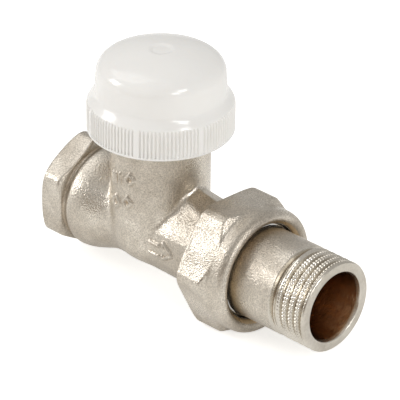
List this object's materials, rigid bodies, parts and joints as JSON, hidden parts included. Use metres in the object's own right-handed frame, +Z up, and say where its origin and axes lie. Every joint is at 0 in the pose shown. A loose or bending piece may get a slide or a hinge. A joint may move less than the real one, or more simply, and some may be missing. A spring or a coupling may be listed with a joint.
{
  "type": "lockshield radiator valve",
  "caption": "Straight DN 15 lockshield valve in nickel-plated brass with a white screwed shield cap, inlet socket with hexagon, union nut and male threaded tailpiece.",
  "frame": {"origin": "centre of the inlet socket's mouth, on the pipe axis", "axes": "+X along the pipe axis from the inlet socket to the tailpiece, +Z up the neck towards the shield cap, Y across the pipe"},
  "size_m": [0.079, 0.033, 0.0581],
  "materials": {
    "nickel_plated_brass": "nickel-plated forged brass, blasted, with turned threads and ends",
    "machined_brass": "turned bare brass",
    "stainless_steel": "bright drawn stainless steel",
    "white_plastic": "glossy moulded white plastic",
    "black_rubber": "matt black EPDM",
    "white_ptfe": "matt white PTFE"
  },
  "bodies": {
    "valve": {"valve_body": "nickel_plated_brass", "bonnet": "machined_brass", "bonnet_o_ring": "black_rubber", "slip_ring": "white_ptfe", "circlip": "stainless_steel"},
    "spindle": {"spindle": "machined_brass", "spindle_o_ring_lower": "black_rubber", "spindle_o_ring_upper": "black_rubber"},
    "plug": {"plug": "machined_brass", "seat_washer": "black_rubber", "washer_retainer": "machined_brass", "washer_screw": "stainless_steel"},
    "cap_gasket": {"cap_gasket": "black_rubber"},
    "shield_cap": {"shield_cap": "white_plastic"},
    "union_rings": {"tail_o_ring": "black_rubber", "snap_ring": "stainless_steel"},
    "union_nut": {"union_nut": "nickel_plated_brass"},
    "tailpiece": {"tailpiece": "nickel_plated_brass"}
  },
  "joints": [
    {"name": "cap_lift", "type": "slide", "parent": "valve", "child": "cap_gasket", "axis": [0, 0, 1], "range_m": [0, 0.0061]},
    {"name": "cap_turn", "type": "hinge", "parent": "cap_gasket", "child": "shield_cap", "pos_m": [0.0263, 0, 0.03], "axis": [0, 0, 1], "range_deg": [0, 1440]},
    {"name": "spindle_turn", "type": "hinge", "parent": "valve", "child": "spindle", "pos_m": [0.0263, 0, 0.03], "axis": [0, 0, 1], "range_deg": [0, 1260]},
    {"name": "plug_lift", "type": "slide", "parent": "valve", "child": "plug", "axis": [0, 0, 1], "range_m": [0, 0.0036]},
    {"name": "union_draw", "type": "slide", "parent": "valve", "child": "union_rings", "axis": [1, 0, 0], "range_m": [0, 0.0073]},
    {"name": "union_turn", "type": "hinge", "parent": "union_rings", "child": "union_nut", "pos_m": [0.05, 0, 0], "axis": [1, 0, 0], "range_deg": [0, 1440]},
    {"name": "tail_swivel", "type": "hinge", "parent": "union_rings", "child": "tailpiece", "pos_m": [0.06, 0, 0], "axis": [1, 0, 0], "continuous": true}
  ],
  "couplings": [
    {"joint": "cap_lift", "follows": "cap_turn", "m_per_rad": 0.00023873},
    {"joint": "plug_lift", "follows": "spindle_turn", "m_per_rad": 0.00015915},
    {"joint": "union_draw", "follows": "union_turn", "m_per_rad": 0.00028871}
  ]
}
